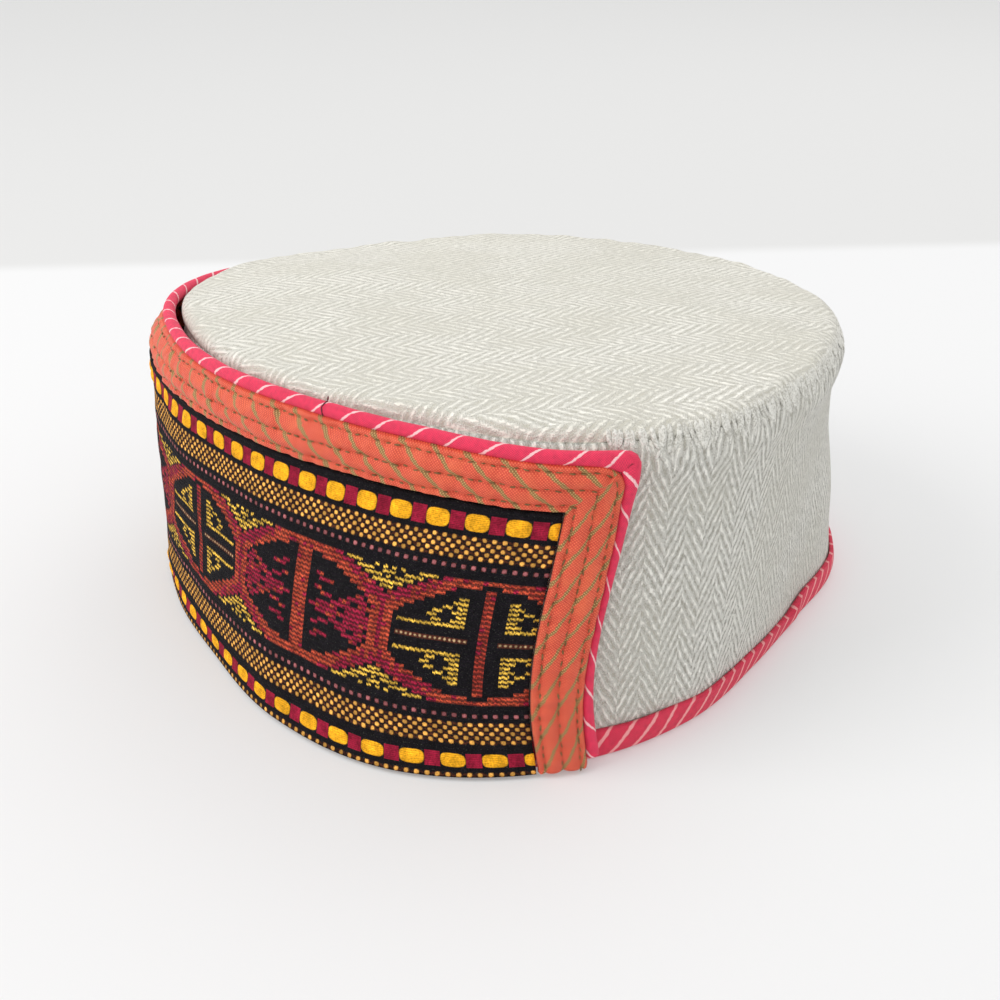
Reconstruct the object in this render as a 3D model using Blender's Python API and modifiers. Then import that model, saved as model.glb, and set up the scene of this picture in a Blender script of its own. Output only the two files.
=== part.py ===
"""A round, flat-topped cap of herringbone tweed, with a bordered woven flap sewn round its front half.

The model is in metres with +Z up. It stands on its hem at z = 0, and the front of the cap is at -Y.
A bearing is an angle round the cap in degrees, anticlockwise seen from above: 270 is the front and
0 the wearer's left.
"""

import math
from collections import namedtuple

import bmesh
import bpy
from mathutils import Vector

# Cloths and the gap between neighbouring pieces
WALL_TWEED = 0.0025
CROWN_TWEED = 0.0022
BINDING = 0.0010
BINDING_HEIGHT = 0.0070
FLAP_CLOTH = 0.0025
PIPING = 0.0036
GAP = 0.0003

# Crown and wall
EDGE_LIP = 0.0005
EDGE_ROLL = 0.0024
CROWN_DOME = 0.0024
DOME_RINGS = (0.15, 0.4, 0.7, 1.0)
WAIST_HEIGHT = 0.70
WAIST_SPREAD = 0.20
SHOULDER = 0.0014
SHOULDER_HEIGHT = 0.92
SHOULDER_SPREAD = 0.06
WALL_FOOT = 0.0020
HEM_EDGE = 0.0005

# Flap: how far round it reaches on each side of the front, at the foot and at the top, in degrees
FRONT = 270.0
FLAP_REACH_FOOT = 95.0
FLAP_REACH_TOP = 99.6
FLAP_END_BOW = 2.4
FLAP_FOOT = 0.0009
FLAP_CLEAR = 0.0004
FLAP_BOW_HEIGHT = 0.34
BORDER_TOP = 0.0108
BORDER_END = 0.0095
BULGE_HEIGHT = 0.68

# Where the middle of the crown stands, measured from the middle of the whole cap
CROWN_X = -0.0051
CROWN_Y = 0.0042

# Faces round the cap, up its wall, over its edge, along the flap and across the border
ROUND_STEPS = 72
WALL_STEPS = 7
ROLL_STEPS = 3
FLAP_STEPS = 40
BORDER_STEPS = 2

# The shape of the cap every 20 degrees. crown and foot are the radius at the top seam and at the hem, seam is
# the height of the top seam, and waist how far the wall is drawn in above its middle. drop is how far the
# flap's top lies below the seam, stand how far it leans off the crown, and bulge how far it swells half way.
Place = namedtuple("Place", "bearing crown foot seam waist drop stand bulge")
SHAPE = (
    Place(0, 0.0945, 0.1018, 0.0775, 0.0002, 0.0000, 0.0004, 0.0000),
    Place(20, 0.0948, 0.0937, 0.0770, 0.0004, 0.0008, 0.0004, 0.0000),
    Place(40, 0.0892, 0.0847, 0.0765, 0.0006, 0.0020, 0.0004, 0.0000),
    Place(60, 0.0855, 0.0835, 0.0752, 0.0012, 0.0030, 0.0004, 0.0000),
    Place(80, 0.0860, 0.0912, 0.0737, 0.0020, 0.0030, 0.0004, 0.0000),
    Place(100, 0.0868, 0.0948, 0.0720, 0.0014, 0.0030, 0.0004, 0.0000),
    Place(120, 0.0878, 0.0955, 0.0710, 0.0006, 0.0030, 0.0004, 0.0000),
    Place(140, 0.0868, 0.0945, 0.0705, 0.0004, 0.0035, 0.0004, 0.0000),
    Place(160, 0.0855, 0.0930, 0.0705, 0.0004, 0.0040, 0.0004, 0.0000),
    Place(180, 0.0845, 0.0922, 0.0708, 0.0002, 0.0040, 0.0004, 0.0006),
    Place(200, 0.0840, 0.0925, 0.0716, 0.0002, 0.0034, 0.0006, 0.0010),
    Place(220, 0.0855, 0.0950, 0.0730, 0.0002, 0.0020, 0.0016, 0.0020),
    Place(240, 0.0890, 0.0985, 0.0747, 0.0002, -0.0004, 0.0034, 0.0032),
    Place(260, 0.0895, 0.1003, 0.0760, 0.0002, -0.0020, 0.0032, 0.0044),
    Place(280, 0.0868, 0.0955, 0.0767, 0.0002, -0.0024, 0.0014, 0.0030),
    Place(300, 0.0850, 0.0935, 0.0772, 0.0002, -0.0024, 0.0006, 0.0010),
    Place(320, 0.0842, 0.0990, 0.0775, 0.0002, -0.0022, 0.0004, 0.0002),
    Place(340, 0.0870, 0.1045, 0.0777, 0.0002, -0.0012, 0.0004, 0.0000),
)


def around(column, bearing):
    """One column of SHAPE at any bearing, on a smooth closed curve through its rows."""
    count = len(SHAPE)
    place = (bearing % 360) * count / 360
    row = int(place)
    part = place - row
    before, here, there, after = (getattr(SHAPE[(row + k) % count], column) for k in (-1, 0, 1, 2))
    bend = 2 * before - 5 * here + 4 * there - after
    turn = 3 * (here - there) + after - before
    return here + part * (there - before + part * (bend + part * turn)) / 2


def average(column):
    """The mean of one column of SHAPE."""
    return sum(getattr(place, column) for place in SHAPE) / len(SHAPE)


def at(bearing, radius, height):
    """The point at a bearing and radius from the crown's middle, at a height over the floor."""
    angle = math.radians(bearing)
    return Vector((CROWN_X + radius * math.cos(angle), CROWN_Y + radius * math.sin(angle), height))


def wall_radius(bearing, height):
    """Outer face of the tweed wall: straight, but drawn in at the waist and full at the shoulder."""
    up = height / around("seam", bearing)
    foot = around("foot", bearing) - BINDING - GAP
    top = around("crown", bearing)
    waist = around("waist", bearing) * math.exp(-((up - WAIST_HEIGHT) / WAIST_SPREAD) ** 2)
    shoulder = SHOULDER * math.exp(-((up - SHOULDER_HEIGHT) / SHOULDER_SPREAD) ** 2)
    return foot + (top - foot) * up - waist + shoulder


def hump(up, peak):
    """A smooth rise from 0 at the foot to 1 at the peak height and back to 0 at the top."""
    return math.sin(math.pi * up ** (math.log(0.5) / math.log(peak)))


def flap_reach(up):
    """Half of the flap's spread in degrees, at a share of its height: the ends bow in below their middle."""
    straight = FLAP_REACH_FOOT + (FLAP_REACH_TOP - FLAP_REACH_FOOT) * up
    return straight - FLAP_END_BOW * hump(up, FLAP_BOW_HEIGHT) ** 2


def flap_height(bearing):
    """Height of the flap's top edge over the floor."""
    return around("seam", bearing) - around("drop", bearing)


def flap_point(along, up, depth):
    """A point of the flap: along runs -1 to 1 from end to end, up 0 to 1, depth in from its outer face."""
    bearing = FRONT + along * flap_reach(up)
    height = FLAP_FOOT + (flap_height(bearing) - FLAP_FOOT) * up
    off_wall = (BINDING + 2 * GAP) * (1 - up) + (around("stand", bearing) + GAP) * up
    swell = around("bulge", bearing) * hump(up, BULGE_HEIGHT)
    inner = wall_radius(bearing, height) + off_wall + swell + FLAP_CLEAR
    return at(bearing, inner + FLAP_CLOTH - depth, height)


def share_along(length):
    """A length along the flap as a share of half its spread."""
    return length / (average("crown") * math.radians(FLAP_REACH_TOP))


def share_up(length):
    """A length up the flap as a share of its height at the front."""
    return length / flap_height(FRONT)


def steps(start, end, count):
    """Evenly spaced numbers from start to end, both included."""
    return [start + (end - start) * k / count for k in range(count + 1)]


def cloth(columns, rows, place):
    """An open sheet with a corner at place(column, row) for each pair of the two lists."""
    sheet = bmesh.new()
    across = len(columns) - 1
    up = len(rows) - 1
    bmesh.ops.create_grid(sheet, x_segments=across, y_segments=up, size=0.5)
    for corner in sheet.verts:
        column = round((corner.co.x + 0.5) * across)
        row = round((corner.co.y + 0.5) * up)
        corner.co = place(columns[column], rows[row])
    return sheet


def close_round(sheet):
    """Joins the first and last columns of a sheet that goes all the way round."""
    bmesh.ops.remove_doubles(sheet, verts=sheet.verts, dist=0.00001)
    bmesh.ops.dissolve_degenerate(sheet, edges=sheet.edges, dist=0.00001)


def cloth_material(name, colour, roughness):
    """A plain dull cloth."""
    material = bpy.data.materials.new(name)
    material.use_nodes = True
    shader = material.node_tree.nodes["Principled BSDF"]
    shader.inputs["Base Color"].default_value = (*colour, 1.0)
    shader.inputs["Roughness"].default_value = roughness
    shader.inputs["Metallic"].default_value = 0.0
    material.diffuse_color = (*colour, 1.0)
    return material


def piece(name, sheet, material, collection, thickness=0.0):
    """Makes a named object from a sheet, thickened inwards where a thickness is given."""
    mesh = bpy.data.meshes.new(name)
    sheet.to_mesh(mesh)
    sheet.free()
    mesh.materials.append(material)
    mesh.shade_smooth()
    mesh.set_sharp_from_angle(angle=math.radians(50))
    new = bpy.data.objects.new(name, mesh)
    collection.objects.link(new)
    if thickness:
        wall = new.modifiers.new("thickness", "SOLIDIFY")
        wall.thickness = thickness
        wall.offset = -1.0
        wall.use_even_offset = True
    return new


def make_side_wall(collection):
    """The standing band of tweed, from inside the hem binding up to the crown's seam."""

    def place(bearing, up):
        height = WALL_FOOT + (around("seam", bearing) - GAP - WALL_FOOT) * up
        return at(bearing, wall_radius(bearing, height), height)

    sheet = cloth(steps(0, 360, ROUND_STEPS), steps(0, 1, WALL_STEPS), place)
    close_round(sheet)
    tweed = cloth_material("wall_tweed", (0.44, 0.42, 0.38), 0.95)
    return piece("side_wall", sheet, tweed, collection, WALL_TWEED)


def make_crown_top(collection):
    """The round of tweed on top: a short lip on the seam, a rolled edge and a slightly domed middle."""

    def place(bearing, ring):
        inset, rise, share_in = ring
        radius = (around("crown", bearing) - inset) * (1 - share_in)
        seam = around("seam", bearing) * (1 - share_in) + average("seam") * share_in
        dome = CROWN_DOME * (1 - (1 - share_in) ** 2)
        return at(bearing, radius, seam + GAP + rise + dome)

    rings = [(0.0, 0.0, 0.0)]
    for turn in steps(0, math.pi / 2, ROLL_STEPS):
        rings.append((EDGE_ROLL * (1 - math.cos(turn)), EDGE_LIP + EDGE_ROLL * math.sin(turn), 0.0))
    for share_in in DOME_RINGS:
        rings.append((EDGE_ROLL, EDGE_LIP + EDGE_ROLL, share_in))
    sheet = cloth(steps(0, 360, ROUND_STEPS), rings, place)
    close_round(sheet)
    tweed = cloth_material("crown_tweed", (0.72, 0.68, 0.60), 0.95)
    return piece("crown_top", sheet, tweed, collection, CROWN_TWEED)


def make_hem_binding(collection):
    """The bias strip folded round the foot of the wall, with a flat underside that the cap stands on."""
    inner_depth = 2 * BINDING + 2 * GAP + WALL_TWEED
    section = (
        (0.0, BINDING_HEIGHT),
        (0.0, HEM_EDGE),
        (HEM_EDGE, 0.0),
        (inner_depth - HEM_EDGE, 0.0),
        (inner_depth, HEM_EDGE),
        (inner_depth, BINDING_HEIGHT),
        (inner_depth - BINDING, BINDING_HEIGHT),
        (inner_depth - BINDING, BINDING),
        (BINDING, BINDING),
        (BINDING, BINDING_HEIGHT),
        (0.0, BINDING_HEIGHT),
    )

    def place(bearing, corner):
        depth, height = corner
        return at(bearing, wall_radius(bearing, height) + GAP + BINDING - depth, height)

    sheet = cloth(steps(0, 360, ROUND_STEPS), section[::-1], place)
    close_round(sheet)
    crimson = cloth_material("crimson_binding", (0.70, 0.03, 0.09), 0.8)
    return piece("hem_binding", sheet, crimson, collection)


def border_lines():
    """Where the border's inner edge runs: as a share along and up the flap."""
    return 1 - share_along(BORDER_END + PIPING), 1 - share_up(BORDER_TOP + PIPING)


def make_woven_band(collection):
    """The patterned strip inside the border, open to the foot of the flap."""
    side, top = border_lines()
    across = steps(-side + share_along(GAP), side - share_along(GAP), FLAP_STEPS)
    up = steps(0, top - share_up(GAP), WALL_STEPS)
    sheet = cloth(across, up, lambda a, b: flap_point(a, b, 0.0))
    wool = cloth_material("woven_wool", (0.16, 0.05, 0.03), 0.9)
    return piece("woven_band", sheet, wool, collection, FLAP_CLOTH)


def make_flap_border(collection):
    """The taffeta frame along the flap's top and down both ends, as one mitred strip."""
    side, top = border_lines()
    end = 1 - share_along(PIPING + GAP)
    head = 1 - share_up(PIPING + GAP)
    left = steps(-end, -side, BORDER_STEPS)[:-1]
    right = steps(side, end, BORDER_STEPS)[1:]
    across = left + steps(-side, side, FLAP_STEPS) + right
    up = steps(0, top, WALL_STEPS) + steps(top, head, BORDER_STEPS)[1:]
    sheet = cloth(across, up, lambda a, b: (a, b, 0.0))
    middles = {face: face.calc_center_median() for face in sheet.faces}
    field = [face for face, middle in middles.items() if abs(middle.x) < side and middle.y < top]
    bmesh.ops.delete(sheet, geom=field, context="FACES")
    for corner in sheet.verts:
        corner.co = flap_point(corner.co.x, corner.co.y, 0.0)
    taffeta = cloth_material("orange_taffeta", (0.80, 0.16, 0.07), 0.6)
    return piece("flap_border", sheet, taffeta, collection, FLAP_CLOTH)


def make_flap_piping(collection):
    """The round piping on the flap's outer edge: up one end, along the top and down the other."""
    side = 1 - share_along(PIPING / 2)
    head = 1 - share_up(PIPING / 2)
    foot = share_up(GAP)
    left = [(-side, up) for up in steps(foot, head, WALL_STEPS)[:-1]]
    top = [(along, head) for along in steps(-side, side, FLAP_STEPS)]
    right = [(side, up) for up in steps(head, foot, WALL_STEPS)[1:]]
    curve = bpy.data.curves.new("flap_piping", "CURVE")
    curve.dimensions = "3D"
    curve.bevel_depth = (PIPING - GAP) / 2
    curve.bevel_resolution = 1
    curve.use_fill_caps = True
    line = curve.splines.new("POLY")
    route = left + top + right
    line.points.add(len(route) - 1)
    for point, (along, up) in zip(line.points, route):
        point.co = (*flap_point(along, up, FLAP_CLOTH / 2 - GAP), 1.0)
    curve.materials.append(cloth_material("crimson_piping", (0.76, 0.02, 0.11), 0.75))
    new = bpy.data.objects.new("flap_piping", curve)
    collection.objects.link(new)
    return new


for old in list(bpy.data.objects):
    bpy.data.objects.remove(old, do_unlink=True)

cap = bpy.data.collections.new("hill_cap")
bpy.context.scene.collection.children.link(cap)
make_crown_top(cap)
make_side_wall(cap)
make_hem_binding(cap)
make_woven_band(cap)
make_flap_border(cap)
make_flap_piping(cap)
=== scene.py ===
import math
import random
from bisect import bisect_right
from collections import namedtuple

import bmesh
import bpy
from mathutils import Matrix, Vector, noise


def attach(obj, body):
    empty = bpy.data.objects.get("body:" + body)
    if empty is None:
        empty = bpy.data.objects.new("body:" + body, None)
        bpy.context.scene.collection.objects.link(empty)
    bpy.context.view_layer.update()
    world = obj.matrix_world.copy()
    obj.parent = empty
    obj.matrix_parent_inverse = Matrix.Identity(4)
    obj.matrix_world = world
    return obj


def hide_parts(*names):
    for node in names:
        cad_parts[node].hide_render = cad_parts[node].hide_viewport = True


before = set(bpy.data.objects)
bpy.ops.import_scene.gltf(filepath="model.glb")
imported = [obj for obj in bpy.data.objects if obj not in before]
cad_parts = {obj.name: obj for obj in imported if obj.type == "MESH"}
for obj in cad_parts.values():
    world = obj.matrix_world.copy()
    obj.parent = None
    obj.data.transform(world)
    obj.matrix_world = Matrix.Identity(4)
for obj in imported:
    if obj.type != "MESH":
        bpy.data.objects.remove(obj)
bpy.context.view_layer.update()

scene = bpy.context.scene

# The camera
# It stands by the wearer's left, a little above the cap and 36 cm from it, and looks down across the crown.
CAMERA_PLACE = (0.3543, -0.0325, 0.1953)
CAMERA_DOWN = 26.12
CAMERA_HEADING = 85.0

lens = bpy.data.cameras.new("photo_camera")
lens.lens = 50.0
lens.sensor_width = 36.0
lens.clip_start = 0.01
camera = bpy.data.objects.new("photo_camera", lens)
camera.location = CAMERA_PLACE
camera.rotation_euler = (math.radians(90 - CAMERA_DOWN), 0.0, math.radians(CAMERA_HEADING))
scene.collection.objects.link(camera)
scene.camera = camera

# The light
# One wide soft lamp stands high on the side of the flap, a weaker one fills in from the wearer's back,
# and the pale room around gives the rest.
ROOM_GLOW = 0.92
CAP_MIDDLE = (0.0, 0.0, 0.04)
LAMP_WIDTH = 0.9

scene.view_settings.view_transform = "Standard"
scene.view_settings.look = "None"
room = bpy.data.worlds.new("pale_room")
room.use_nodes = True
background = room.node_tree.nodes["Background"]
background.inputs["Color"].default_value = (1.0, 1.0, 0.995, 1.0)
background.inputs["Strength"].default_value = ROOM_GLOW
scene.world = room


def soft_lamp(name, place, power, colour):
    """A square lamp of soft light that faces the cap."""
    lamp = bpy.data.lights.new(name, "AREA")
    lamp.shape = "SQUARE"
    lamp.size = LAMP_WIDTH
    lamp.energy = power
    lamp.color = colour
    holder = bpy.data.objects.new(name, lamp)
    holder.location = place
    holder.rotation_euler = (Vector(CAP_MIDDLE) - Vector(place)).to_track_quat("-Z", "Y").to_euler()
    scene.collection.objects.link(holder)


soft_lamp("window_light", place=(0.25, -1.05, 0.95), power=8.2, colour=(1.0, 0.99, 0.975))
soft_lamp("back_fill", place=(-0.70, 0.60, 0.90), power=1.6, colour=(1.0, 0.99, 0.98))

# The floor
# A plain white table top whose paint glows a little, a painted light that keeps the shadow round the hem
# pale. Its tone drops a little past the line where the table ends in the picture.
FLOOR_REACH = 3.0
FLOOR_DROP = 0.0002
TABLE_END = -0.308
TABLE_FADE = 0.02
TABLE_PAINTED_GLOW = 0.24


def fill(tree, sockets, values):
    """Fills sockets by name or number from values or other nodes' outputs."""
    for place, value in values.items():
        if isinstance(value, bpy.types.NodeSocket):
            tree.links.new(value, sockets[place])
        else:
            sockets[place].default_value = value


def shader_node(tree, kind, inputs=None, **settings):
    """Adds a shader node with its settings, and fills its inputs."""
    new = tree.nodes.new("ShaderNode" + kind)
    for name, value in settings.items():
        setattr(new, name, value)
    fill(tree, new.inputs, inputs or {})
    return new


def object_spot(tree):
    """The spot on a piece, in metres."""
    return shader_node(tree, "TexCoord").outputs["Object"]


def axes_of(tree, spot):
    """The X, Y and Z of a spot."""
    return shader_node(tree, "SeparateXYZ", {"Vector": spot}).outputs


def soft_step(tree, value, low, high):
    """0 below low, 1 above high, and smooth between. It runs the other way where low is above high."""
    given = {"Value": value, "From Min": low, "From Max": high}
    return shader_node(tree, "MapRange", given, interpolation_type="SMOOTHSTEP").outputs["Result"]


def blend(tree, share, first, second, kind="MIX"):
    """Two colours mixed by a share."""
    given = {0: share, 6: first, 7: second}
    return shader_node(tree, "Mix", given, data_type="RGBA", blend_type=kind).outputs[2]


def new_material(name, roughness, sheen=0.0):
    """An empty dull material, with its node tree and its surface shader."""
    material = bpy.data.materials.new(name)
    material.use_nodes = True
    tree = material.node_tree
    shader = tree.nodes["Principled BSDF"]
    fill(tree, shader.inputs, {"Roughness": roughness, "Sheen Weight": sheen, "Sheen Roughness": 0.5})
    return material, tree, shader


table_paint, tree, shader = new_material("table_paint", 0.7)
behind = soft_step(tree, axes_of(tree, object_spot(tree))["X"], TABLE_END, TABLE_END - TABLE_FADE)
tone = blend(tree, behind, (0.575, 0.577, 0.582, 1.0), (0.470, 0.470, 0.467, 1.0))
# The table's own glow is painted light, not a lamp: it lifts the shadow round the hem.
painted_glow = (TABLE_PAINTED_GLOW, TABLE_PAINTED_GLOW, TABLE_PAINTED_GLOW, 1.0)
fill(tree, shader.inputs, {"Base Color": tone, "Emission Color": painted_glow, "Emission Strength": 1.0})

sheet = bmesh.new()
bmesh.ops.create_circle(sheet, cap_ends=True, segments=96, radius=FLOOR_REACH)
mesh = bpy.data.meshes.new("table_top")
sheet.to_mesh(mesh)
sheet.free()
mesh.materials.append(table_paint)
floor = bpy.data.objects.new("table_top", mesh)
floor.location = (0.0, 0.0, -FLOOR_DROP)
scene.collection.objects.link(floor)

# The side wall
# A standing strip of herringbone tweed, cut straight and joined at the front under the flap.
# Its tones are a darker grey-beige than the crown's round of the same tweed: painted shade on the wall.
# Its top is turned in against the crown, which gathers the cloth under the seam into short upright ribs.
WALL_TWEED = 0.0025
BINDING = 0.0010
GAP = 0.0003
WAIST_HEIGHT = 0.70
WAIST_SPREAD = 0.20
SHOULDER = 0.0014
SHOULDER_HEIGHT = 0.92
SHOULDER_SPREAD = 0.06
WALL_FOOT = 0.0020
CROWN_X = -0.0051
CROWN_Y = 0.0042
FRONT = 270.0
WALL_COLUMNS = 420
WALL_ROWS = 60
SAME_SPOT = 0.00001
WALL_SWELL = (0.018, 0.0006)
WALL_EDGE = 0.0012
WALL_EDGE_CALM = 0.35
RIB_ZONE = 0.0065
RIB_DEPTH = 0.00030
RIB_SWAY = (0.02, 5.0)
SEAM_CREASE = 0.00008
SEAM_SWELL = (0.004, 0.00025)
SEAM_TUCK = 0.0006
SEAM_TUCK_HEIGHT = 0.0016
HERRINGBONE_ROUND = 56
HERRINGBONE_WIDTH = 0.0104
WEAVE_ROUND = HERRINGBONE_ROUND * HERRINGBONE_WIDTH
WEAVE_START = 0.0028
WALL_CUT = 0.0765
GATHER_ZONE = 0.00715
GATHERED = 0.55
YARNS_ACROSS = 1150.0
YARNS_ALONG = 560.0

Place = namedtuple("Place", "bearing crown foot seam waist drop stand bulge", defaults=(0.0004, 0.0))
SHAPE = [Place(*row) for row in (
    (0, 0.0945, 0.1018, 0.0775, 0.0002, 0.0000),
    (20, 0.0948, 0.0937, 0.0770, 0.0004, 0.0008),
    (40, 0.0892, 0.0847, 0.0765, 0.0006, 0.0020),
    (60, 0.0855, 0.0835, 0.0752, 0.0012, 0.0030),
    (80, 0.0860, 0.0912, 0.0737, 0.0020, 0.0030),
    (100, 0.0868, 0.0948, 0.0720, 0.0014, 0.0030),
    (120, 0.0878, 0.0955, 0.0710, 0.0006, 0.0030),
    (140, 0.0868, 0.0945, 0.0705, 0.0004, 0.0035),
    (160, 0.0855, 0.0930, 0.0705, 0.0004, 0.0040),
    (180, 0.0845, 0.0922, 0.0708, 0.0002, 0.0040, 0.0004, 0.0006),
    (200, 0.0840, 0.0925, 0.0716, 0.0002, 0.0034, 0.0006, 0.0010),
    (220, 0.0855, 0.0950, 0.0730, 0.0002, 0.0020, 0.0016, 0.0020),
    (240, 0.0890, 0.0985, 0.0747, 0.0002, -0.0004, 0.0034, 0.0032),
    (260, 0.0895, 0.1003, 0.0760, 0.0002, -0.0020, 0.0032, 0.0044),
    (280, 0.0868, 0.0955, 0.0767, 0.0002, -0.0024, 0.0014, 0.0030),
    (300, 0.0850, 0.0935, 0.0772, 0.0002, -0.0024, 0.0006, 0.0010),
    (320, 0.0842, 0.0990, 0.0775, 0.0002, -0.0022, 0.0004, 0.0002),
    (340, 0.0870, 0.1045, 0.0777, 0.0002, -0.0012),
)]


def around(column, bearing):
    """The value of one column at any bearing, on a smooth closed curve through the rows."""
    count = len(SHAPE)
    place = (bearing % 360) * count / 360
    row = int(place)
    part = place - row
    before, here, there, after = (getattr(SHAPE[(row + k) % count], column) for k in (-1, 0, 1, 2))
    bend = 2 * before - 5 * here + 4 * there - after
    turn = 3 * (here - there) + after - before
    return here + part * (there - before + part * (bend + part * turn)) / 2


def at(bearing, radius, height):
    """A point at a bearing and radius from the middle of the crown."""
    angle = math.radians(bearing)
    return Vector((CROWN_X + radius * math.cos(angle), CROWN_Y + radius * math.sin(angle), height))


def wall_radius(bearing, height):
    """How far out the wall's face lies at a bearing and height."""
    up = height / around("seam", bearing)
    foot = around("foot", bearing) - BINDING - GAP
    top = around("crown", bearing)
    waist = around("waist", bearing) * math.exp(-((up - WAIST_HEIGHT) / WAIST_SPREAD) ** 2)
    shoulder = SHOULDER * math.exp(-((up - SHOULDER_HEIGHT) / SHOULDER_SPREAD) ** 2)
    return foot + (top - foot) * up - waist + shoulder


def ripple(spot, size, depth):
    """A soft uneven swell of the cloth, with bumps about size across and depth high."""
    return depth * noise.noise(Vector(spot) / size)


def cloth(columns, rows, place, weave):
    """A grid of cloth. place and weave turn a corner's shares, 0 to 1, into its point and its flat spot."""
    sheet = bmesh.new()
    bmesh.ops.create_grid(sheet, x_segments=columns, y_segments=rows, size=0.5)
    flat = sheet.loops.layers.uv.new("UVMap")
    shares = {corner: (corner.co.x + 0.5, corner.co.y + 0.5) for corner in sheet.verts}
    spots = {corner: weave(*share) for corner, share in shares.items()}
    for face in sheet.faces:
        for loop in face.loops:
            loop[flat].uv = spots[loop.vert]
    for corner, share in shares.items():
        corner.co = place(*share)
    return sheet


def close_round(sheet):
    """Joins the first and last columns of a sheet that goes all the way round."""
    bmesh.ops.remove_doubles(sheet, verts=sheet.verts, dist=SAME_SPOT)
    bmesh.ops.dissolve_degenerate(sheet, edges=sheet.edges, dist=SAME_SPOT)


def make_piece(name, sheet, material, thickness=0.0):
    """Makes a smooth named piece from a sheet, thickened inwards where a thickness is given."""
    mesh = bpy.data.meshes.new(name)
    sheet.to_mesh(mesh)
    sheet.free()
    mesh.materials.append(material)
    mesh.shade_smooth()
    piece = bpy.data.objects.new(name, mesh)
    scene.collection.objects.link(piece)
    if thickness:
        wall = piece.modifiers.new("thickness", "SOLIDIFY")
        wall.thickness = thickness
        wall.offset = -1.0
        wall.use_even_offset = True
    return piece


def weave_group(name, numbers, colours):
    """An empty node group for a weave's colour and height: its tree, and what comes in and goes out."""
    group = bpy.data.node_groups.new(name, "ShaderNodeTree")
    kinds = {"Weave": "Vector", "Place": "Vector"}
    kinds |= dict.fromkeys(numbers, "Float") | dict.fromkeys(colours, "Color")
    for label, kind in kinds.items():
        group.interface.new_socket(label, in_out="INPUT", socket_type="NodeSocket" + kind)
    for label, kind in (("Color", "Color"), ("Height", "Float")):
        group.interface.new_socket(label, in_out="OUTPUT", socket_type="NodeSocket" + kind)
    return group, group.nodes.new("NodeGroupInput").outputs, group.nodes.new("NodeGroupOutput").inputs


def cloth_spot(tree, layer="UVMap"):
    """The spot on the flat cloth."""
    return shader_node(tree, "UVMap", uv_map=layer).outputs["UV"]


def noise_at(tree, spot, scale, detail):
    """An even noise from 0 to 1, with scale bumps to the metre."""
    given = {"Vector": spot, "Scale": scale, "Detail": detail}
    return shader_node(tree, "TexNoise", given).outputs["Fac"]


def sums(tree, operation, *values):
    """The result of one sum on numbers or outputs."""
    return shader_node(tree, "Math", dict(enumerate(values)), operation=operation).outputs[0]


def times(tree, first, second):
    """Two numbers multiplied."""
    return sums(tree, "MULTIPLY", first, second)


def line(tree, value, slope, start):
    """A number times a slope, plus a start."""
    return sums(tree, "MULTIPLY_ADD", value, slope, start)


def unevenly(tree, value, grain, amount):
    """A number moved up and down by a grain of 0 to 1."""
    return line(tree, sums(tree, "SUBTRACT", grain, 0.5), amount, value)


def between(tree, share, first, second):
    """Two numbers mixed by a share."""
    return shader_node(tree, "Mix", {0: share, 2: first, 3: second}, data_type="FLOAT").outputs[0]


def dress(tree, shader, colour, height, depth):
    """Gives a material its colour, and its relief from a height of 0 to 1 and a depth in metres."""
    bump = shader_node(tree, "Bump", {"Height": height, "Distance": depth})
    fill(tree, shader.inputs, {"Base Color": colour, "Normal": bump.outputs["Normal"]})


def woven_cloth(name, roughness, sheen, weave, depth, looks):
    """A material of one cloth, from a group that draws its weave and the looks to draw it with."""
    material, tree, shader = new_material(name, roughness, sheen)
    places = {"Weave": cloth_spot(tree), "Place": object_spot(tree)}
    drawn = shader_node(tree, "Group", places | looks, node_tree=weave).outputs
    dress(tree, shader, drawn["Color"], drawn["Height"], depth)
    return material


herringbone, given, result = weave_group(
    "herringbone_tweed", ("Rib", "Across", "Along", "Calm"), ("Light", "Dark"))
tree = herringbone
sway = noise_at(tree, given["Place"], 260.0, 2.0)
fuzz = noise_at(tree, given["Place"], 3200.0, 3.0)
slub = noise_at(tree, given["Place"], 700.0, 2.0)
cloud = noise_at(tree, given["Place"], 38.0, 3.0)
weave = axes_of(tree, given["Weave"])
swung = unevenly(tree, weave["X"], sway, 0.0011)
fold = sums(tree, "PINGPONG", swung, given["Rib"])
turn = sums(tree, "FLOOR", sums(tree, "DIVIDE", swung, given["Rib"]))
rise = unevenly(tree, weave["Y"], slub, 0.0012)
across, along = sums(tree, "DIVIDE", fold, given["Across"]), sums(tree, "DIVIDE", rise, given["Along"])
yarn = sums(tree, "PINGPONG", line(tree, turn, 0.5, sums(tree, "ADD", across, along)), 0.5)
yarn_spot = {"X": times(tree, weave["X"], YARNS_ACROSS), "Y": times(tree, weave["Y"], YARNS_ALONG)}
floats = noise_at(tree, shader_node(tree, "CombineXYZ", yarn_spot).outputs["Vector"], 1.0, 1.0)
rough_ridge = times(tree, yarn, 2.0)
for grain, amount in ((fuzz, 1.7), (slub, 0.7), (floats, 1.3)):
    rough_ridge = unevenly(tree, rough_ridge, grain, amount)
patch = soft_step(tree, cloud, 0.35, 0.65)
calm = times(tree, given["Calm"], line(tree, patch, 0.9, 0.55))
lit = between(tree, calm, soft_step(tree, rough_ridge, -0.12, 0.52), 0.62)
body = blend(tree, lit, given["Dark"], given["Light"])
body = blend(tree, times(tree, patch, 0.16), body, (0.64, 0.61, 0.47, 1.0))
height = line(tree, fuzz, 0.35, times(tree, soft_step(tree, rough_ridge, 0.0, 1.0), 0.65))
fill(tree, result, {"Color": body, "Height": height})

# The wall's copy of the tweed has darker tones than the crown's: painted shade on the standing wall.
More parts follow.
